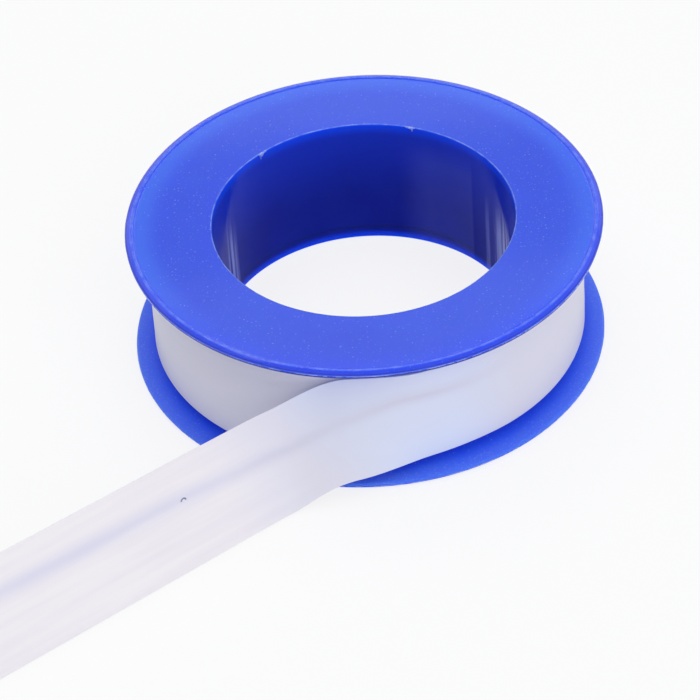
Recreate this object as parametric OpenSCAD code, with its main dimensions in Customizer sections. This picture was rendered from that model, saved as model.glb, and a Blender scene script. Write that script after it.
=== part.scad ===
// Thread seal tape roll: thin white film wound on a moulded spool with an open bore,
// its free end pulled off to one side. Millimetres, +Z up.
// The origin is the centre of the bore, midway between the two flanges.

/* [Tape] */
// Width of the film
tape_w = 12; // [8:0.5:19]
// Thickness of the film
film_t = 0.075; // [0.05:0.005:0.1]
// Length of film wound on the spool
tape_len = 10000; // [4000:250:11000]

/* [Spool] */
// Diameter of the flanges
flange_d = 52; // [51:0.5:70]
// Diameter of the bore
bore_d = 33; // [24:0.5:34]
// Wall of the sleeve that lines the bore
sleeve_wall = 0.7; // [0.5:0.05:1.2]
// Wall of the barrel that carries the tape
barrel_wall = 0.65; // [0.5:0.05:1.2]
// Thickness of a flange at the hub
flange_root_t = 1.4; // [0.8:0.05:2.5]
// Thickness of a flange at its edge, under the rim
flange_edge_t = 0.7; // [0.4:0.05:1.2]
// Width of the raised rim round a flange
rim_w = 0.9; // [0.5:0.05:2]
// Height of the raised rim above the flange's face
rim_h = 0.1; // [0.05:0.05:0.4]
// Radius of the rim's rounded outer edge
rim_round = 0.65; // [0.2:0.05:0.8]
// Radius of the bore's upper edge
upper_mouth_round = 0.15; // [0.05:0.05:0.5]
// Radius of the bore's lower edge
lower_mouth_round = 0.5; // [0.05:0.05:0.6]

/* [Snap bead] */
// Radius of the bead that holds the two spool halves together
bead_r = 0.25; // [0.1:0.05:0.3]
// Height of the bead above the lower flange's inner face
bead_rise = 1.5; // [0.8:0.1:4]
// Clearance round the bead in its groove
bead_clear = 0.05; // [0.02:0.01:0.1]

/* [Fits] */
// Room between the tape's edge and a flange, at the hub
side_gap = 0.65; // [0.3:0.05:1.5]
// Radial clearance between sleeve, barrel and tape
hub_clear = 0.05; // [0.02:0.01:0.1]
// Gap between the sleeve's end and the lower flange
sleeve_end_gap = 0.1; // [0.05:0.05:0.5]
// Gap between the wound tape and its outer turn
turn_gap = 0.05; // [0.02:0.01:0.1]

/* [Outer turn] */
// Angle round the bore, from +X, of the line where the tape leaves the roll
lift_angle = -59.5; // [-180:0.5:180]
// Angle that the outer turn covers, back from that line
turn_span = 338; // [300:1:340]

/* [Tail] */
// Length of tape pulled off the roll
tail_len = 67; // [45:1:120]
// Length of the slack stretch that still curves round the roll
slack_len = 16.9; // [8:0.1:20]
// How much larger than the roll's the slack stretch's radius is
slack_ease = 13.7; // [8:0.1:40]
// Length of the bend that turns the tail outwards
kick_len = 9.7; // [8:0.1:24]
// Angle of that bend
kick_angle = 30; // [10:0.1:45]
// Lean of the tail once it is off the roll, back from upright
tail_lean = 20.3; // [5:0.1:35]
// Distance along the tail where the lean begins
lean_start = 7; // [2:0.1:16]
// Length over which the lean grows
lean_len = 13.2; // [10:0.1:40]
// How much more it leans at its free end
end_lean = 8.4; // [0:0.1:15]
// Room between the leaning tail and the roll
tail_clear = 0.48; // [0.1:0.01:1]
// Room past the lower flange's rim before the tail drops
rim_pass = 1; // [0.5:0.1:5]
// Length over which the tail drops to the standing surface
drop_len = 8.3; // [6:0.1:20]
// Height of the free end's lower edge above the standing surface
tail_rest = 0.3; // [0.2:0.05:1]

/* [Hidden] */
$fn = 96;

spool_blue = [0.25, 0.37, 0.88];
film_white = [0.90, 0.90, 0.94];

// Radii from the bore outwards
bore_r = bore_d / 2;
sleeve_r = bore_r + sleeve_wall;
barrel_in_r = sleeve_r + hub_clear;
hub_r = barrel_in_r + barrel_wall;
core_in_r = hub_r + hub_clear;
// The wound film's side area is its length times its thickness
core_r = sqrt(core_in_r * core_in_r + tape_len * film_t / PI);
turn_in_r = core_r + turn_gap;
turn_mid_r = turn_in_r + film_t / 2;
turn_out_r = turn_in_r + film_t;
flange_r = flange_d / 2;

// Heights above the middle plane
tape_top = tape_w / 2;
root_z = tape_top + side_gap;
face_z = root_z + flange_root_t;
edge_z = face_z - flange_edge_t;
crest_z = face_z + rim_h;
bead_z = bead_rise - root_z;
// Depth to which a hub wall runs into its own flange
hub_root = flange_root_t / 2;
edge_round = min(rim_round, rim_w, flange_edge_t + rim_h);

// Tail stations, and rows of faces across its width
tail_steps = 66;
tail_rows = 6;
step = tail_len / tail_steps;
slack_r = turn_mid_r + slack_ease;
lean_end = lean_start + lean_len;
// Angle past its start over which the outer turn is measured against the tail
gap_sweep = 120;

function smooth(u) = let (c = min(max(u, 0), 1)) c * c * (3 - 2 * c);
function toward(angle) = [cos(angle), sin(angle)];
function degrees(length, radius) = length / radius * 180 / PI;
function along(i) = i * step;

// Plan view of the tail's middle line: it peels off, then bends outwards
function heading(s) =
    lift_angle - 90 - degrees(min(s, slack_len), slack_r)
    + kick_angle * smooth((s - slack_len) / kick_len);
route = [
    for (i = 0, p = turn_mid_r * toward(lift_angle);
         i <= tail_steps;
         p = p + step * toward(heading(along(i + 0.5))), i = i + 1) p
];
function inward(i) = toward(heading(along(i)) - 90);

// Lean: it grows along the tail, and no faster than the upper edge clears the roll
function lean_wanted(s) =
    tail_lean * smooth((s - lean_start) / lean_len)
    + end_lean * max(s - lean_end, 0) / (tail_len - lean_end);
function lean_room(i) =
    asin(min(max((norm(route[i]) - turn_out_r - tail_clear) / tape_top, 0), 1));
function lean(i) = min(lean_wanted(along(i)), lean_room(i));
function lower_edge_r(i) = norm(route[i] - inward(i) * tape_top * sin(lean(i)));

// Drop: it starts once the lower edge is past the lower flange's rim
drop_start = along([for (i = [0 : tail_steps]) if (lower_edge_r(i) > flange_r + rim_pass) i][0]);
function rest_mid_z(i) = tail_rest - crest_z + tape_top * cos(lean(i));
function middle_z(i) = rest_mid_z(i) * smooth((along(i) - drop_start) / drop_len);

// A place on the tail: up is the share of the width above the middle line, out of the thickness
function tail_point(i, up, out) =
    let (
        rise = up * tape_w,
        depth = out * film_t,
        flat = inward(i) * (rise * sin(lean(i)) - depth * cos(lean(i)))
    )
    [
        route[i][0] + flat[0],
        route[i][1] + flat[1],
        middle_z(i) + rise * cos(lean(i)) + depth * sin(lean(i))
    ];
function plan(p) = [p[0], p[1]];

// Least gap between the tail and the start of the outer turn, on points
turn_points = [for (a = [0 : gap_sweep]) turn_mid_r * toward(lift_angle + turn_span - a)];
tail_edges = [for (i = [0 : tail_steps]) for (up = [-0.5, 0, 0.5]) plan(tail_point(i, up, 0))];
least_gap = min([for (p = tail_edges) for (q = turn_points) norm(p - q)]) - film_t;
echo(str("least gap of the outer turn and tail to itself: ", least_gap, " mm"));

// A square corner less its rounding, to cut a corner at the origin that points to +X +Y
module corner_cut(radius) {
    difference() {
        translate([-radius, -radius]) square(2 * radius);
        translate([-radius, -radius]) circle(radius);
    }
}

// Half section of a flange with its outer face up
module flange_section(mouth_round) {
    difference() {
        polygon([
            [bore_r, root_z],
            [hub_r, root_z],
            [flange_r, edge_z],
            [flange_r, crest_z],
            [flange_r - rim_w, crest_z],
            [flange_r - rim_w, face_z],
            [bore_r, face_z]
        ]);
        translate([flange_r, crest_z]) corner_cut(edge_round);
        translate([bore_r, face_z]) mirror([1, 0]) corner_cut(mouth_round);
    }
}

// Lower half: flange and outer barrel, grooved for the snap bead
module spool_base() {
    color(spool_blue)
    rotate_extrude() {
        mirror([0, 1]) flange_section(lower_mouth_round);
        difference() {
            translate([barrel_in_r, -root_z - hub_root])
                square([barrel_wall, 2 * root_z + hub_root]);
            translate([sleeve_r, bead_z]) circle(bead_r + bead_clear);
        }
    }
}

// Upper half: flange and inner sleeve, with the snap bead round its foot
module spool_cap() {
    color(spool_blue)
    rotate_extrude() {
        flange_section(upper_mouth_round);
        translate([bore_r, sleeve_end_gap - root_z])
            square([sleeve_wall, 2 * root_z + hub_root - sleeve_end_gap]);
        translate([sleeve_r, bead_z]) circle(bead_r);
    }
}

// Inner layers of film, as one plain core
module wound_tape() {
    color(film_white)
    rotate_extrude()
    translate([core_in_r, -tape_top]) square([core_r - core_in_r, tape_w]);
}

// Last turn of film, open where the tail leaves it
module outer_turn() {
    color(film_white)
    rotate([0, 0, lift_angle])
    rotate_extrude(angle = turn_span)
    translate([turn_in_r, -tape_top]) square([film_t, tape_w]);
}

// Free end: one strip swept along the route, which starts on the outer turn's end face.
// Both faces are split into the same triangles, so the film keeps its thickness where it twists.
module tape_tail() {
    sides = [-0.5, 0.5];
    row_count = tail_rows + 1;
    station = len(sides) * row_count;
    function at(i, side, j) = i * station + side * row_count + j;
    function quad(a, b, c, d) = [[a, b, c], [a, c, d]];
    points = [
        for (i = [0 : tail_steps])
        for (out = sides)
        for (j = [0 : tail_rows])
        tail_point(i, j / tail_rows - 0.5, out)
    ];
    faces = [
        for (i = [0 : tail_steps - 1])
        for (j = [0 : tail_rows - 1])
        each concat(
            quad(at(i, 1, j), at(i, 1, j + 1), at(i + 1, 1, j + 1), at(i + 1, 1, j)),
            quad(at(i, 0, j), at(i + 1, 0, j), at(i + 1, 0, j + 1), at(i, 0, j + 1))
        )
    ];
    edges = [
        for (i = [0 : tail_steps - 1])
        each concat(
            quad(at(i, 0, 0), at(i, 1, 0), at(i + 1, 1, 0), at(i + 1, 0, 0)),
            quad(at(i, 1, tail_rows), at(i, 0, tail_rows), at(i + 1, 0, tail_rows), at(i + 1, 1, tail_rows))
        )
    ];
    ends = [
        for (j = [0 : tail_rows - 1])
        let (n = tail_steps)
        each concat(
            quad(at(0, 1, j + 1), at(0, 1, j), at(0, 0, j), at(0, 0, j + 1)),
            quad(at(n, 0, j), at(n, 1, j), at(n, 1, j + 1), at(n, 0, j + 1))
        )
    ];
    color(film_white)
    polyhedron(points, concat(faces, edges, ends));
}

spool_base();
spool_cap();
wound_tape();
outer_turn();
tape_tail();
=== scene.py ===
"""Looks of the thread seal tape roll: a moulded spool, its wound film and the film's free end."""
import math
import random

import bpy
from mathutils import Matrix, Vector, noise


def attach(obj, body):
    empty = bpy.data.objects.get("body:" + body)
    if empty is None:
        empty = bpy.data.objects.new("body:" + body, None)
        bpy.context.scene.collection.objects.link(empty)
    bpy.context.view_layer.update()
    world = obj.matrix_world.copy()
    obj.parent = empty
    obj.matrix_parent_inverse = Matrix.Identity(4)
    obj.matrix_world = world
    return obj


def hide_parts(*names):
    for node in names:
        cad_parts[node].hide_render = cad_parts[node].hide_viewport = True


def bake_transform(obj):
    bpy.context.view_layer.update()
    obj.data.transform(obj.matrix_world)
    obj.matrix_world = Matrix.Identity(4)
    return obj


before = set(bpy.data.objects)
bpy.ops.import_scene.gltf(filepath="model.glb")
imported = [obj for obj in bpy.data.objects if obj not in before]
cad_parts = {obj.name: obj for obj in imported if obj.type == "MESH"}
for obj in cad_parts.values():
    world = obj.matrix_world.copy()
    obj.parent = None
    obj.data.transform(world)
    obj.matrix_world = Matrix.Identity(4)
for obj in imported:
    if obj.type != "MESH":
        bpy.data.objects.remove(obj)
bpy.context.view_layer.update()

MM = 0.001

# Sizes in millimetres, from the part's source
tape_w = 12
film_t = 0.075
tape_len = 10000
flange_r = 26
bore_r = 16.5
sleeve_r = 17.2
barrel_in_r = 17.25
hub_r = 17.9
core_in_r = 17.95
core_r = math.sqrt(core_in_r ** 2 + tape_len * film_t / math.pi)
turn_gap = 0.05
turn_in_r = core_r + turn_gap
turn_mid_r = turn_in_r + film_t / 2
turn_out_r = turn_in_r + film_t
root_z = 6.65
face_z = 8.05
crest_z = 8.15
edge_z = 7.35
bead_z = -5.15
bead_r = 0.25
bead_clear = 0.05
lift_angle = -59.5
turn_span = 338
turn_len = math.radians(turn_span) * turn_mid_r
tail_len = 67
slack_len = 16.9
slack_ease = 13.7
kick_len = 9.7
kick_angle = 30
tail_lean = 20.3
lean_start = 7
lean_len = 13.2
end_lean = 8.4
rim_pass = 1
drop_len = 8.3
tail_rest = 0.3
upper_mouth_round = 0.15

# Sizes that differ a little from the source's, to fit the photo
lower_mouth_round = 0.12
sleeve_end_z = -6.643
tail_clear = 0.25


# Node maths

class Wire:
    """A socket that adds Math nodes when it is used in an expression."""

    def __init__(self, finish, socket):
        self.finish = finish
        self.socket = socket

    def math(self, operation, *terms):
        return self.finish.add("ShaderNodeMath", {"operation": operation}, dict(enumerate(terms)))

    def __add__(self, other):
        return self.math("ADD", self, other)

    def __radd__(self, other):
        return self.math("ADD", other, self)

    def __sub__(self, other):
        return self.math("SUBTRACT", self, other)

    def __rsub__(self, other):
        return self.math("SUBTRACT", other, self)

    def __mul__(self, other):
        return self.math("MULTIPLY", self, other)

    def __rmul__(self, other):
        return self.math("MULTIPLY", other, self)

    def __pow__(self, other):
        return self.math("POWER", self, other)

    def __abs__(self):
        return self.math("ABSOLUTE", self)

    def most(self, other):
        return self.math("MAXIMUM", self, other)

    def ramp(self, low, high):
        """0 below low, 1 above high and smooth between them; it falls where low is above high."""
        return self.finish.add(
            "ShaderNodeMapRange",
            {"interpolation_type": "SMOOTHSTEP"},
            {"Value": self, "From Min": low, "From Max": high},
        )

    def ramp_mm(self, low, high):
        """A ramp on a length in metres, between two sizes in millimetres."""
        return self.ramp(low * MM, high * MM)


class Finish:
    """A node tree that is built up by expressions."""

    def __init__(self, tree):
        self.tree = tree
        tree.nodes.clear()

    def add(self, kind, settings, sockets, out=0):
        node = self.tree.nodes.new(kind)
        for name, value in settings.items():
            setattr(node, name, value)
        for name, value in sockets.items():
            if isinstance(value, Wire):
                self.tree.links.new(value.socket, node.inputs[name])
            else:
                node.inputs[name].default_value = value
        return Wire(self, node.outputs[out]) if node.outputs else None

    def place(self, output):
        return self.add("ShaderNodeTexCoord", {}, {}, output)

    def axes(self, vector):
        node = self.add("ShaderNodeSeparateXYZ", {}, {"Vector": vector}).socket.node
        return [Wire(self, socket) for socket in node.outputs]

    def stretch(self, vector, scale):
        return self.add("ShaderNodeMapping", {}, {"Vector": vector, "Scale": scale})

    def noise(self, vector, scale, detail=2, roughness=0.5):
        sockets = {"Vector": vector, "Scale": scale, "Detail": detail, "Roughness": roughness}
        return self.add("ShaderNodeTexNoise", {}, sockets)

    def cells(self, vector, scale, out):
        return self.add("ShaderNodeTexVoronoi", {}, {"Vector": vector, "Scale": scale}, out)

    def blend(self, factor, first, second):
        settings = {"data_type": "RGBA"}
        return self.add("ShaderNodeMix", settings, {0: factor, 6: first, 7: second}, 2)

    def bump(self, height, strength, distance):
        sockets = {"Height": height, "Strength": strength, "Distance": distance}
        return self.add("ShaderNodeBump", {}, sockets)

    def surface(self, sockets):
        shader = self.add("ShaderNodeBsdfPrincipled", {}, sockets)
        self.add("ShaderNodeOutputMaterial", {}, {"Surface": shader})


def new_material(name):
    material = bpy.data.materials.new(name)
    material.use_nodes = True
    return material, Finish(material.node_tree)


def length(x, y):
    return (x * x + y * y) ** 0.5


# Colours of the spool

royal_deep = (0.004, 0.066, 0.9, 1)
royal = (0.006, 0.08, 0.98, 1)
# Painted glow of light through the flange's thin overhang
royal_painted_glow = (0.02, 0.15, 1, 1)
dust_pale = (0.13, 0.27, 0.99, 1)
# Painted highlight on the crest
crest_highlight = (0.1, 0.2, 0.99, 1)
# Painted shade on the rim's side and in a groove line, a painted highlight on its lip and painted
# shade below it
rim_side_shade = (0.002, 0.04, 0.66, 1)
rim_groove_shade = (0.002, 0.02, 0.36, 1)
rim_lip_highlight = (0.06, 0.2, 1, 1)
rim_below_shade = (0.002, 0.014, 0.26, 1)
parting_torn = (0.5, 0.58, 0.96, 1)
# Painted highlight on the bore's mouth
mouth_highlight = (0.3, 0.42, 0.98, 1)
dull_deep = (0.028, 0.108, 0.97, 1)
dull_blue = (0.034, 0.125, 1, 1)
# Painted light towards the flanges' outer edges
dull_edge_light = (0.08, 0.185, 1, 1)
frost_pale = (0.19, 0.33, 1, 1)
# Painted shade deep in the bore, and painted light along its edges
bore_shade_darkest = (0.005, 0.015, 0.31, 1)
bore_shade_deep = (0.006, 0.019, 0.35, 1)
bore_shade_upper = (0.01, 0.04, 0.65, 1)
bore_lit = (0.008, 0.08, 0.97, 1)
# Painted reflections as pale streaks in the bore
bore_reflection_pale = (0.34, 0.4, 1, 1)
torn_shade = (0.16, 0.27, 0.95, 1)
torn_light = (0.5, 0.6, 1, 1)

# Colours of the film

film_shade = (0.865, 0.825, 0.885, 1)
film_light = (0.935, 0.892, 0.922, 1)
# Bluish painted shade on the film near the spool
film_shade_near_spool = (0.745, 0.735, 0.85, 1)
# Painted blue bounce light on the front of the roll
film_front_bounce = (0.72, 0.785, 0.99, 1)
# Painted shade along the crease
crease_shade_far = (0.7, 0.7, 0.88, 1)
crease_shade_near = (0.655, 0.64, 0.785, 1)
speck_dark = (0.1, 0.12, 0.22, 1)
edge_shade = (0.79, 0.8, 0.88, 1)
edge_light = (0.87, 0.875, 0.94, 1)


# Finishes

see_through = {
    "Subsurface Weight": 0.75,
    "Subsurface Radius": (0.4, 0.9, 3.5),
    "Subsurface Scale": 0.001,
}
plastic_ior = 1.5
film_ior = 1.36


def dust(finish, place):
    """Pale dust, of a few larger grains and many fine ones."""
    large = 2400
    fine = 4300
    near = finish.cells(place, large, "Distance").ramp(0.26, 0.1)
    chosen = finish.axes(finish.cells(place, large, "Color"))[0].ramp(0.55, 0.95)
    close = finish.cells(place, fine, "Distance").ramp(0.34, 0.14)
    picked = finish.axes(finish.cells(place, fine, "Color"))[1].ramp(0.6, 0.95)
    return 0.7 * near * chosen + 0.4 * close * picked


def moulded_blue():
    """Glossy royal blue, a little see-through: dusty, worn rougher on its crest, torn at the
    parting; with painted highlights on its crest, lip and mouth, painted shade on its rim's side
    and a painted glow on its overhang.
    """
    material, finish = new_material("moulded_blue")
    place = finish.place("Object")
    x, y, z = finish.axes(place)
    radius = length(x, y)
    height = abs(z)
    drift = finish.noise(place, scale=70, detail=3)
    haze = finish.noise(place, scale=900, detail=4, roughness=0.6)
    colour = finish.blend(drift.ramp(0.3, 0.7), royal_deep, royal)
    # Painted glow: the overhang beyond the film is lighter on its far side and sides, as if light
    # shone through it.
    thin = radius.ramp_mm(21.8, 24.6) * radius.ramp_mm(25.05, 24.9) * y.ramp_mm(-20, -6)
    colour = finish.blend(thin * 0.8, colour, royal_painted_glow)
    speck = dust(finish, place)
    colour = finish.blend(speck, colour, dust_pale)
    # Painted highlight along the crest, broken by haze; the same mask also makes the crest a little
    # rougher.
    crest = radius.ramp_mm(25.04, 25.1) * radius.ramp_mm(25.5, 25.36) * height.ramp_mm(8.07, 8.12)
    crest_rub_and_highlight = crest * haze.ramp(0.25, 0.7)
    colour = finish.blend(crest_rub_and_highlight * 0.9, colour, crest_highlight)
    # On the upper flange only: painted shade on the rim's side, a painted dark line of shade below
    # the shoulder, a painted highlight on the lip and painted shade under it.
    side = radius.ramp_mm(25.4, 25.6) * z.ramp_mm(0, 1)
    colour = finish.blend(side * 0.6, colour, rim_side_shade)
    groove = side * height.ramp_mm(7.98, 7.94) * height.ramp_mm(7.87, 7.9)
    colour = finish.blend(groove * 0.85, colour, rim_groove_shade)
    lip = side * height.ramp_mm(7.87, 7.85) * height.ramp_mm(7.78, 7.8)
    colour = finish.blend(lip * 0.6, colour, rim_lip_highlight)
    below = side * height.ramp_mm(7.74, 7.71)
    colour = finish.blend(below, colour, rim_below_shade)
    parting = radius.ramp_mm(25.955, 25.975)
    broken = finish.noise(place, scale=1100, detail=4, roughness=0.7).ramp(0.4, 0.54)
    colour = finish.blend(parting * broken * 0.9, colour, parting_torn)
    # Painted highlight along the bore's upper edge, broken by haze.
    mouth = radius.ramp_mm(16.68, 16.62) * z.ramp_mm(7.88, 7.94)
    colour = finish.blend(mouth * haze.ramp(0.25, 0.7) * 0.6, colour, mouth_highlight)
    gloss = 0.04 + 0.04 * haze + 0.12 * crest_rub_and_highlight + 0.3 * speck
    relief = finish.noise(place, scale=260) + 0.12 * haze + 0.4 * speck
    finish.surface({
        "Base Color": colour,
        "Roughness": gloss,
        "IOR": plastic_ior,
        "Normal": finish.bump(relief, strength=0.03, distance=0.00006),
    } | see_through)
    return material


def inner_blue():
    """The flanges' inner faces and the barrel, left dull by the mould, with painted light towards
    their outer edge.
    """
    material, finish = new_material("inner_blue")
    place = finish.place("Object")
    x, y, _ = finish.axes(place)
    radius = length(x, y)
    drift = finish.noise(place, scale=70, detail=3)
    grain = finish.noise(place, scale=2600, detail=3, roughness=0.6)
    colour = finish.blend(drift.ramp(0.3, 0.7), dull_deep, dull_blue)
    # Painted light: lighter towards the outer edge, darker in the shade near the film.
    colour = finish.blend(radius.ramp_mm(23.4, 25.8) * 0.9, colour, dull_edge_light)
    crystals = finish.noise(place, scale=4200, detail=3, roughness=0.7).ramp(0.52, 0.7)
    frost = radius.ramp_mm(23.6, 25.6) * crystals
    colour = finish.blend(frost * 0.5, colour, frost_pale)
    speck = dust(finish, place)
    colour = finish.blend(speck, colour, dust_pale)
    finish.surface({
        "Base Color": colour,
        "Roughness": 0.42 + 0.16 * grain,
        "Specular IOR Level": 0.25,
        "Normal": finish.bump(grain, strength=0.08, distance=0.00004),
    } | see_through)
    return material


def bore_blue():
    """The bore's wall, with upright marks: painted shade deepening away from its edges, painted
    light along its top and bottom edges, and pale streaks of painted reflection at its left and
    right.
    """
    material, finish = new_material("bore_blue")
    place = finish.place("Object")
    x, _, z = finish.axes(place)
    depth = face_z * MM - z
    upright = (1, 1, 0.03)
    marks = finish.noise(finish.stretch(place, upright), scale=800, detail=4, roughness=0.7)
    # Painted reflections: pale streaks at the bore's left and right, and a faint veil on its right;
    # the streaks also make the wall rougher there.
    left = x.ramp_mm(-15.5, -14.9) * x.ramp_mm(-14, -14.7)
    right = x.ramp_mm(14.3, 15.2) * x.ramp_mm(16.1, 15.6)
    narrow = x.ramp_mm(13.5, 13.8) * x.ramp_mm(14.2, 13.9)
    fibres = finish.noise(finish.stretch(place, upright), scale=1700, detail=3, roughness=0.6)
    uneven = fibres.ramp(0.3, 0.6)
    streaks = (0.75 * left + right + 0.3 * narrow) * uneven * z.ramp_mm(3.5, -2)
    reflection_veil = x.ramp_mm(4, 8) * x.ramp_mm(12.5, 12.2) * z.ramp_mm(7, 3)
    # Painted shade that deepens down the bore, and painted light along its top and bottom edges.
    drift = finish.noise(place, scale=160, detail=3)
    deep = finish.blend(drift.ramp(0.3, 0.7), bore_shade_darkest, bore_shade_deep)
    middle = finish.blend(depth.ramp_mm(11, 0), deep, bore_shade_upper)
    lit = depth.ramp_mm(1.6, 0).most(z.ramp_mm(-6.9, -8))
    colour = finish.blend(lit, middle, bore_lit)
    colour = finish.blend(streaks.most(0.08 * reflection_veil), colour, bore_reflection_pale)
    finish.surface({
        "Base Color": colour,
        "Roughness": 0.06 + 0.2 * marks.ramp(0.42, 0.58) + 0.12 * streaks,
        "Specular IOR Level": 0.04,
        "Normal": finish.bump(marks, strength=0.12, distance=0.00006),
    } | see_through)
    return material


def torn_blue():
    """Pale, dull plastic where a gate was torn off."""
    material, finish = new_material("torn_blue")
    place = finish.place("Object")
    rough = finish.noise(place, scale=4200, detail=3, roughness=0.6)
    colour = finish.blend(rough.ramp(0.35, 0.65), torn_shade, torn_light)
    finish.surface({
        "Base Color": colour,
        "Roughness": 0.45 + 0.25 * rough,
        "Normal": finish.bump(rough, strength=0.4, distance=0.00004),
    })
    return material


def seal_film():
    """Satin white film with streaks along its length, with bluish painted shade near the spool,
    painted blue bounce light low on the roll's front, and painted shade along the crease.

    Its UV map is in metres along and across the film.
    """
    material, finish = new_material("seal_film")
    sheet = finish.place("UV")
    u, v, _ = finish.axes(sheet)
    streak = finish.noise(finish.stretch(sheet, (28, 620, 1)), scale=1, detail=4, roughness=0.6)
    patch = finish.noise(finish.stretch(sheet, (60, 140, 1)), scale=1)
    lines = finish.noise(finish.stretch(sheet, (40, 5200, 1)), scale=1, roughness=0.7)
    tone = (0.7 * streak + 0.3 * patch).ramp(0.3, 0.7)
    colour = finish.blend(tone, film_shade, film_light)
    x, y, z = finish.axes(finish.place("Object"))
    radius = length(x, y)
    # Bluish painted shade on the film near the spool.
    near_spool = radius.ramp_mm(37, 25)
    colour = finish.blend(near_spool, colour, film_shade_near_spool)
    # Painted blue bounce light from the flanges, low on the roll's front.
    front = radius.ramp_mm(28, 24) * y.ramp_mm(-18, -23)
    blue_bounce = front * (0.65 + 0.35 * z.ramp_mm(1, -6)) * u.ramp_mm(-60, -40)
    colour = finish.blend(blue_bounce, colour, film_front_bounce)
    # Painted shade on the crease's lower flank, darker near the spool.
    crease = finish.add("ShaderNodeAttribute", {"attribute_name": "crease"}, {}, "Fac")
    shade = finish.blend(near_spool, crease_shade_far, crease_shade_near)
    colour = finish.blend(crease * 0.62, colour, shade)
    along = u - 35.7 * MM
    across = v - 1.45 * MM
    ring = abs(length(along, across) - 0.28 * MM)
    hook = ring.ramp_mm(0.13, 0.05) * across.ramp_mm(-0.06, 0.05)
    colour = finish.blend(hook * 0.85, colour, speck_dark)
    relief = 0.6 * streak + 0.25 * lines + 0.3 * patch
    finish.surface({
        "Base Color": colour,
        "Roughness": 0.36 + 0.16 * streak,
        "IOR": film_ior,
        "Normal": finish.bump(relief, strength=0.18, distance=0.0001),
    })
    return material


def film_edges():
    """The same film seen on its edges, layer on layer."""
    material, finish = new_material("film_edges")
    place = finish.place("Object")
    x, y, z = finish.axes(place)
    rings = {"X": length(x, y) * 9000, "Z": z * 300}
    layer = finish.noise(finish.add("ShaderNodeCombineXYZ", {}, rings), scale=1)
    mottle = finish.noise(place, scale=320, detail=3)
    tone = (0.6 * layer + 0.4 * mottle).ramp(0.3, 0.7)
    colour = finish.blend(tone, edge_shade, edge_light)
    finish.surface({
        "Base Color": colour,
        "Roughness": 0.42 + 0.14 * mottle,
        "IOR": film_ior,
        "Normal": finish.bump(layer, strength=0.2, distance=0.00005),
    })
    return material


# Modelling

merge_gap = 0.002
straight = math.radians(89)


def rounded(corners, arc_step=20):
    """Points round a closed section whose corners are (radius, height, rounding)."""
    points = []
    for i, (r, z, rounding) in enumerate(corners):
        here = Vector((r, z))
        before = (Vector(corners[i - 1][:2]) - here).normalized()
        after = (Vector(corners[(i + 1) % len(corners)][:2]) - here).normalized()
        half = before.angle(after) / 2
        if rounding == 0 or half > straight:
            points.append(here)
            continue
        middle = here + (before + after).normalized() * rounding / math.sin(half)
        first = here + before * rounding / math.tan(half) - middle
        last = here + after * rounding / math.tan(half) - middle
        sweep = math.atan2(first.x * last.y - first.y * last.x, first.dot(last))
        count = max(2, math.ceil(abs(math.degrees(sweep)) / arc_step))
        for k in range(count + 1):
            turned = Matrix.Rotation(sweep * k / count, 2)
            points.append(middle + turned @ first)
    return held(points)


def held(points, margin=0.07):
    """Adds a point near both ends of each long run, so that flat faces shade as flat."""
    kept = []
    for start, end in zip(points, points[1:] + points[:1]):
        kept.append(start)
        run = (end - start).length
        if run > 6 * margin:
            kept.append(start.lerp(end, margin / run))
            kept.append(end.lerp(start, margin / run))
    return kept


def spun(name, points, steps):
    """Extrudes a section from one vertex, in the plane of X and Z, and spins it round the bore."""
    path = [Vector((p.x, 0, p.y)) * MM for p in points]
    bpy.ops.object.select_all(action="DESELECT")
    bpy.ops.mesh.primitive_plane_add(size=MM, calc_uvs=False)
    piece = bpy.context.object
    piece.name = name
    bpy.ops.object.mode_set(mode="EDIT")
    bpy.ops.mesh.select_all(action="SELECT")
    bpy.ops.mesh.merge(type="CENTER")
    bpy.ops.transform.translate(value=path[0])
    for start, end in zip(path, path[1:] + path[:1]):
        bpy.ops.mesh.extrude_vertices_move(TRANSFORM_OT_translate={"value": end - start})
    bpy.ops.mesh.select_all(action="SELECT")
    bpy.ops.mesh.remove_doubles(threshold=merge_gap * MM)
    bpy.ops.mesh.spin(steps=steps, angle=math.tau, center=(0, 0, 0), axis=(0, 0, 1))
    bpy.ops.mesh.select_all(action="SELECT")
    bpy.ops.mesh.remove_doubles(threshold=merge_gap * MM)
    bpy.ops.mesh.normals_make_consistent(inside=False)
    bpy.ops.object.mode_set(mode="OBJECT")
    bpy.ops.object.shade_smooth_by_angle(angle=math.radians(40))
    return piece


def finished(piece, body, slot, *nodes):
    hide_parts(*nodes)
    if body:
        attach(piece, body)


# Spool: two mouldings, each a flange with a hub wall

spool_steps = 240
rim_start_r = 24.9
rim_foot_r = 25.0
rim_foot_dip = 0.04
crest_in_r = 25.14
crest_out_r = 25.36
shoulder_r = 25.76
shoulder_z = 7.99
flash_out = 0.04
flash_z = 7.75
flash_root = 0.03
flash_tip = 0.012
edge_r = flange_r - flash_out
joint_round = 0.008


def flange_corners(mouth):
    """A flange's section, outer face up, from the bore out over the rim and back below."""
    return [
        (bore_r, face_z, mouth),
        (rim_start_r, face_z, 0.1),
        (rim_foot_r, face_z - rim_foot_dip, 0.03),
        (crest_in_r, crest_z, 0.06),
        (crest_out_r, crest_z, 0.25),
        (shoulder_r, shoulder_z, 0.3),
        (edge_r, flash_z + 0.1, 0.1),
        (edge_r, flash_z + flash_root, 0),
        (flange_r, flash_z + flash_tip, 0),
        (flange_r, flash_z - flash_tip, 0),
        (edge_r, flash_z - flash_root, 0),
        (edge_r - 0.03, edge_z, 0.3),
        (hub_r + 0.25, root_z + 0.02, 0.2),
    ]


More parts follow.
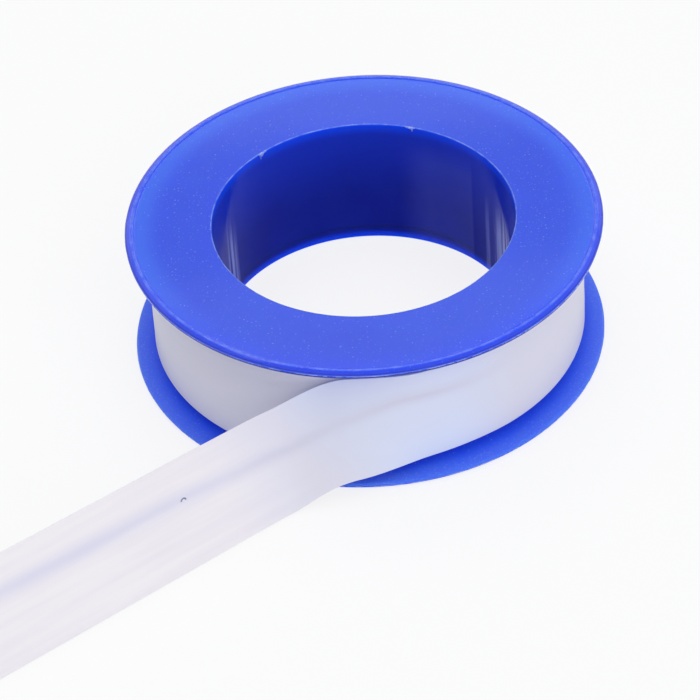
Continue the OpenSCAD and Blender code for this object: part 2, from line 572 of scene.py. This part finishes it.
def spool_cap_section():
    """The upper flange and its sleeve, with the snap bead."""
    return flange_corners(upper_mouth_round) + [
        (sleeve_r, root_z, 0),
        (sleeve_r, bead_z + bead_r, 0.05),
        (sleeve_r + bead_r * 1.1, bead_z, 0.18),
        (sleeve_r, bead_z - bead_r, 0.05),
        (sleeve_r, sleeve_end_z, 0.2),
        (bore_r, sleeve_end_z, joint_round),
    ]


def spool_base_section():
    """The lower flange and its barrel, with the bead's groove."""
    flange = [(r, -z, rounding) for r, z, rounding in flange_corners(lower_mouth_round)]
    groove_r = bead_r + bead_clear
    return flange + [
        (hub_r, -root_z + 0.15, 0.1),
        (hub_r, root_z, 0.06),
        (barrel_in_r, root_z, 0.15),
        (barrel_in_r, bead_z + groove_r, 0),
        (barrel_in_r + groove_r, bead_z, 0.2),
        (barrel_in_r, bead_z - groove_r, 0),
        (barrel_in_r, -root_z, 0.05),
        (bore_r, -root_z, joint_round),
    ]


def break_flash(piece, seed):
    """Wears the parting line down in places, so that it isn't an even ring."""
    worn_run = 2.2
    for vertex in piece.data.vertices:
        flat = Vector((vertex.co.x, vertex.co.y, 0))
        if flat.length > (edge_r + 0.5 * flash_out) * MM:
            at = Vector((flat.x, flat.y, seed * MM)) / (worn_run * MM)
            share = min(max(0.5 + 1.1 * noise.noise(at), 0), 1)
            flat = flat.normalized() * (edge_r + flash_out * share) * MM
            vertex.co.x = flat.x
            vertex.co.y = flat.y


outer_finish, bore_finish, inner_finish = range(3)


def spool_finish(face):
    """Which of the spool's finishes a face takes: outer, bore wall or inner."""
    radius = Vector(face.center[:2]).length / MM
    in_mouth = abs(face.center.z) > 7 * MM and abs(face.normal.z) > 0.5
    if radius < bore_r + 0.1 and not in_mouth:
        return bore_finish
    reach = edge_r if face.center.z < 0 else edge_r - 0.35
    inside = abs(face.center.z) < (flash_z - 0.04) * MM and hub_r - 0.1 < radius < reach
    return inner_finish if inside else outer_finish


def spool_half(name, corners, seed):
    piece = spun(name, rounded(corners), spool_steps)
    break_flash(piece, seed)
    piece.data.materials.clear()
    for material in spool_finishes:
        piece.data.materials.append(material)
    for face in piece.data.polygons:
        face.material_index = spool_finish(face)
    return piece


def torn_nick(angle, width, points, seed):
    """A pale burr where a gate was torn off the bore's upper edge: a flake with points below it.

    Each point has its place along the edge, its thickness and how far it hangs.
    """
    bpy.ops.object.select_all(action="DESELECT")
    bpy.ops.mesh.primitive_ico_sphere_add(subdivisions=3, radius=0.5 * MM)
    nick = bpy.context.object
    bpy.ops.object.mode_set(mode="EDIT")
    bpy.ops.mesh.select_all(action="SELECT")
    bpy.ops.transform.resize(value=(0.24, width, 0.2))
    for along, thick, hang in points:
        bpy.ops.mesh.primitive_cone_add(
            vertices=8, radius1=thick * MM, radius2=0.03 * MM, depth=hang * MM
        )
        bpy.ops.mesh.subdivide(number_cuts=2)
        bpy.ops.transform.rotate(value=math.pi, orient_axis="X", center_override=(0, 0, 0))
        bpy.ops.transform.translate(value=(-0.04 * MM, along * MM, -hang / 2 * MM))
    bpy.ops.mesh.select_all(action="SELECT")
    bpy.ops.transform.vertex_random(offset=0.05 * MM, uniform=0.5, seed=seed)
    bpy.ops.mesh.normals_make_consistent(inside=False)
    bpy.ops.object.mode_set(mode="OBJECT")
    on_edge = Matrix.Translation(Vector((bore_r - 0.02, 0, face_z - 0.03)) * MM)
    nick.matrix_world = Matrix.Rotation(math.radians(angle), 4, "Z") @ on_edge
    bpy.ops.object.transform_apply(location=True, rotation=True, scale=True)
    nick.data.materials.append(torn)
    return nick


spool_finishes = [moulded_blue(), bore_blue(), inner_blue()]
torn = torn_blue()
spool_cap = spool_half("spool_cap_moulding", spool_cap_section(), seed=3)
nicks = [
    torn_nick(angle=130.2, width=1.2, points=[(0.33, 0.2, 0.65), (0.08, 0.14, 0.4)], seed=2),
    torn_nick(angle=69, width=1.05, points=[(-0.24, 0.16, 0.45)], seed=5),
]
bpy.ops.object.select_all(action="DESELECT")
for piece in nicks + [spool_cap]:
    piece.select_set(True)
bpy.context.view_layer.objects.active = spool_cap
bpy.ops.object.join()
finished(spool_cap, "roll", "spool_plastic", "spool_cap")
spool_base = spool_half("spool_base_moulding", spool_base_section(), seed=8)
finished(spool_base, "roll", "spool_plastic", "spool_base")


# Wound film: layers whose edges don't quite line up

layer_draw = random.Random(12)
layer_count = 38
layer_shift = 0.05
layer_inset = 0.06
groove_depth = 0.05
corner_inset = 0.12
wound_steps = 200


def layered_section():
    top = []
    bottom = []
    width = (core_r - core_in_r) / layer_count
    for k in range(layer_count):
        inner = core_in_r + k * width
        outer = inner + width
        shift = layer_draw.uniform(-layer_shift, layer_shift)
        rise = tape_w / 2 - layer_inset + shift
        foot = -tape_w / 2 + layer_inset + shift
        top += [(inner + 0.3 * width, rise), (outer - 0.1 * width, rise)]
        bottom += [(inner + 0.3 * width, foot), (outer - 0.1 * width, foot)]
        if k < layer_count - 1:
            top.append((outer + 0.1 * width, rise - groove_depth))
            bottom.append((outer + 0.1 * width, foot + groove_depth))
    corner_z = tape_w / 2 - corner_inset
    upper = [(core_in_r, corner_z)] + top + [(core_r, corner_z)]
    lower = [(core_in_r, -corner_z)] + bottom + [(core_r, -corner_z)]
    return [Vector(p) for p in upper + lower[::-1]]


wound = spun("wound_layers", layered_section(), wound_steps)
wound.data.materials.append(film_edges())
finished(wound, "roll", "tape_film", "wound_tape")


# Film: the outer turn and the free end

def smooth(u):
    c = min(max(u, 0), 1)
    return c * c * (3 - 2 * c)


def toward(angle):
    return Vector((math.cos(math.radians(angle)), math.sin(math.radians(angle))))


def heading(s):
    slack = math.degrees(min(s, slack_len) / (turn_mid_r + slack_ease))
    return lift_angle - 90 - slack + kick_angle * smooth((s - slack_len) / kick_len)


turn_steps = 280
tail_steps = 201
film_rows = 48
tail_step = tail_len / tail_steps
route = [turn_mid_r * toward(lift_angle)]
for i in range(tail_steps):
    route.append(route[-1] + tail_step * toward(heading((i + 0.5) * tail_step)))


def inward(i):
    return toward(heading(i * tail_step) - 90)


def lean(i):
    """Lean back from upright: it grows along the tail, and no faster than the roll leaves room."""
    room = (route[i].length - turn_out_r - tail_clear) / (tape_w / 2)
    most = math.asin(min(max(room, 0), 1))
    s = i * tail_step
    lean_end = lean_start + lean_len
    wanted = tail_lean * smooth((s - lean_start) / lean_len)
    wanted += end_lean * max(s - lean_end, 0) / (tail_len - lean_end)
    return min(math.radians(wanted), most)


def lower_edge_r(i):
    return (route[i] - inward(i) * tape_w / 2 * math.sin(lean(i))).length


passed = [i for i in range(tail_steps + 1) if lower_edge_r(i) > flange_r + rim_pass]
drop_start = passed[0] * tail_step

# The long crease: share of the width above the middle line, at distances along the film
crease_line = [
    (-20, 0.44),
    (-6, 0.33),
    (1, 0.25),
    (9, 0.28),
    (19, 0.11),
    (27, 0.15),
    (39, 0.19),
    (66, 0.24),
]
crease_start = -7
crease_run = 16
crease_depth = 0.3


def crease_up(s):
    for (s0, u0), (s1, u1) in zip(crease_line, crease_line[1:]):
        if s <= s1:
            return u0 + (u1 - u0) * smooth((s - s0) / (s1 - s0))
    return crease_line[-1][1]


def crease_grown(s):
    return smooth((s - crease_start) / crease_run)


def crinkle(s, up):
    """How far the film's own unevenness stands out, in millimetres, at a place on it."""
    across = (up - crease_up(s)) * tape_w
    flank = 2.4 if across > 0 else 0.7
    depth = crease_depth * crease_grown(s) * (0.65 + 0.35 * smooth((60 - s) / 40))
    ridge = depth * math.exp(-(across / flank) ** 2)
    long_wave = 0.045 * noise.noise(Vector((s / 21, up * 5.5, 4.2)))
    fine_wave = 0.014 * noise.noise(Vector((s / 6, up * 15, 9.1)))
    return ridge + long_wave + fine_wave


def crease_shade(s, up):
    """How much painted shade the crease's lower flank takes at a place on the film, from 0 to a
    little over 1.
    """
    across = (up - crease_up(s)) * tape_w
    uneven = 1 + 0.3 * noise.noise(Vector((s / 9, 2.7, 6.4)))
    return uneven * crease_grown(s) * math.exp(-((across + 0.45) / 0.85) ** 2)


def film_grid(name, steps, start, run, place):
    """A grid of film laid along place(s, up), with UVs in metres, given its thickness."""
    bpy.ops.object.select_all(action="DESELECT")
    bpy.ops.mesh.primitive_grid_add(x_subdivisions=steps, y_subdivisions=film_rows, size=1)
    film = bpy.context.object
    film.name = name
    at = [(start + run * (v.co.x + 0.5), v.co.y) for v in film.data.vertices]
    layer = film.data.uv_layers.active.data
    for loop in film.data.loops:
        s, up = at[loop.vertex_index]
        layer[loop.index].uv = (s * MM, up * tape_w * MM)
    # The crease attribute holds the painted shade of the crease's lower flank.
    crease = film.data.attributes.new("crease", "FLOAT", "POINT")
    for vertex, shade, (s, up) in zip(film.data.vertices, crease.data, at):
        vertex.co = place(s, up) * MM
        shade.value = crease_shade(s, up)
    thick = film.modifiers.new("thickness", "SOLIDIFY")
    thick.thickness = film_t * MM
    thick.offset = 0
    bpy.ops.object.modifier_apply(modifier=thick.name)
    bpy.ops.object.shade_smooth_by_angle(angle=math.radians(50))
    film.data.materials.append(white_film)
    return film


white_film = seal_film()
turn_dip = -0.03
turn_settle = 10


def on_turn(s, up):
    """A place on the outer turn, which lies flat where it starts."""
    angle = lift_angle - math.degrees(s / turn_mid_r)
    settled = smooth((s + turn_len) / turn_settle)
    flat = toward(angle) * (turn_mid_r + max(crinkle(s, up), turn_dip) * settled)
    return Vector((flat.x, flat.y, up * tape_w))


def on_tail(s, up):
    """A place on the free end, which leans back and drops to the floor past the lower flange."""
    i = min(round(s / tail_step), tail_steps)
    rise = up * tape_w
    out = crinkle(s, up)
    flat = inward(i) * (rise * math.sin(lean(i)) - out * math.cos(lean(i)))
    rest = tail_rest - crest_z + tape_w / 2 * math.cos(lean(i))
    middle = rest * smooth((s - drop_start) / drop_len)
    z = middle + rise * math.cos(lean(i)) + out * math.sin(lean(i))
    return Vector((route[i].x + flat.x, route[i].y + flat.y, z))


turn = film_grid("outer_turn_film", turn_steps, -turn_len, turn_len, on_turn)
finished(turn, "turn", "tape_film", "outer_turn")

tail = film_grid("tail_film", tail_steps, 0, tail_len, on_tail)
finished(tail, None, "tape_film", "tape_tail")
bend_len = 8
bend_start = on_tail(0, 0) * MM
bend_end = on_tail(bend_len, 0) * MM
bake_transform(tail)


# Stage: floor, world, lamps and camera

def as_seen(finish):
    """Whether the camera sees it, and whether a reflection or a see-through surface shows it."""
    path = finish.add("ShaderNodeLightPath", {}, {}).socket.node
    rays = ["Is Camera Ray", "Is Glossy Ray", "Is Transmission Ray"]
    camera_ray, glossy, clear = [Wire(finish, path.outputs[ray]) for ray in rays]
    return camera_ray, glossy.most(clear)


def pale_floor():
    """A white table lit from below, so that the spool glows where it is thin."""
    own_light = 0.4
    seen_light = 0.4
    material, finish = new_material("pale_floor")
    matte = finish.add("ShaderNodeBsdfDiffuse", {}, {"Color": (0.95, 0.95, 0.95, 1)})
    white = finish.add("ShaderNodeEmission", {}, {"Strength": 1.0})
    camera_ray, mirror_ray = as_seen(finish)
    share = own_light + seen_light * camera_ray.most(mirror_ray)
    mixed = finish.add("ShaderNodeMixShader", {}, {0: share, 1: matte, 2: white})
    finish.add("ShaderNodeOutputMaterial", {}, {"Surface": mixed})
    return material


bpy.ops.object.select_all(action="DESELECT")
bpy.ops.mesh.primitive_plane_add(size=4, location=(0, 0, -crest_z * MM))
floor = bpy.context.object
floor.name = "floor"
floor.data.materials.append(pale_floor())

world = bpy.data.worlds.new("studio")
bpy.context.scene.world = world
world.use_nodes = True
sky = Finish(world.node_tree)
ambient = 0.38
camera_ray, mirror_ray = as_seen(sky)
in_view = camera_ray.most(mirror_ray)
cool = sky.blend(in_view, (0.9, 0.94, 1, 1), (1, 1, 1, 1))
brightness = ambient + (1 - ambient) * in_view
glow = sky.add("ShaderNodeBackground", {}, {"Color": cool, "Strength": brightness})
sky.add("ShaderNodeOutputWorld", {}, {"Surface": glow})


def softbox(name, place, aim, size, level, mirrored=True):
    """An even rectangle of light; at level 1 it looks as bright as white."""
    lamp = bpy.data.lights.new(name, "AREA")
    lamp.shape = "RECTANGLE"
    lamp.size, lamp.size_y = size
    lamp.energy = level * math.pi * lamp.size * lamp.size_y
    box = bpy.data.objects.new(name, lamp)
    bpy.context.scene.collection.objects.link(box)
    box.location = place
    box.rotation_euler = (Vector(aim) - Vector(place)).to_track_quat("-Z", "Y").to_euler()
    box.visible_glossy = mirrored


softbox("ceiling", (0.1, -0.2, 0.6), (0.1, -0.2, 0), (0.9, 0.6), level=0.95, mirrored=False)
softbox("ceiling_strip", (0, 0.53, 0.6), (0, 0.53, 0), (1.2, 0.356), level=0.4)
softbox("back_strip", (0, 0.85, 0.5), (0, 0, 0.5), (1.4, 0.3), level=0.5)
softbox("back_top", (-0.03, 0.09, 0.2), (0, 0, 0), (0.16, 0.1), level=1.4)
softbox("key", (0.22, -0.62, 0.45), (0, 0, 0), (0.6, 0.4), level=1.7, mirrored=False)
softbox("right_card", (0.6, -0.4, 0.08), (0, 0, 0.08), (0.6, 0.16), level=1.3)

camera_place = (-0.002405, -0.338393, 0.280097)
camera_dip = 40.68
camera_roll = -3.81
camera_data = bpy.data.cameras.new("photo_camera")
camera_data.sensor_width = 36
camera_data.lens = 205.714
camera = bpy.data.objects.new("photo_camera", camera_data)
bpy.context.scene.collection.objects.link(camera)
pitch = Matrix.Rotation(math.radians(90 - camera_dip), 3, "X")
roll = Matrix.Rotation(math.radians(camera_roll), 3, "Z")
camera.matrix_world = Matrix.Translation(camera_place) @ (pitch @ roll).to_4x4()
bpy.context.scene.camera = camera

bpy.context.scene.view_settings.view_transform = "Standard"
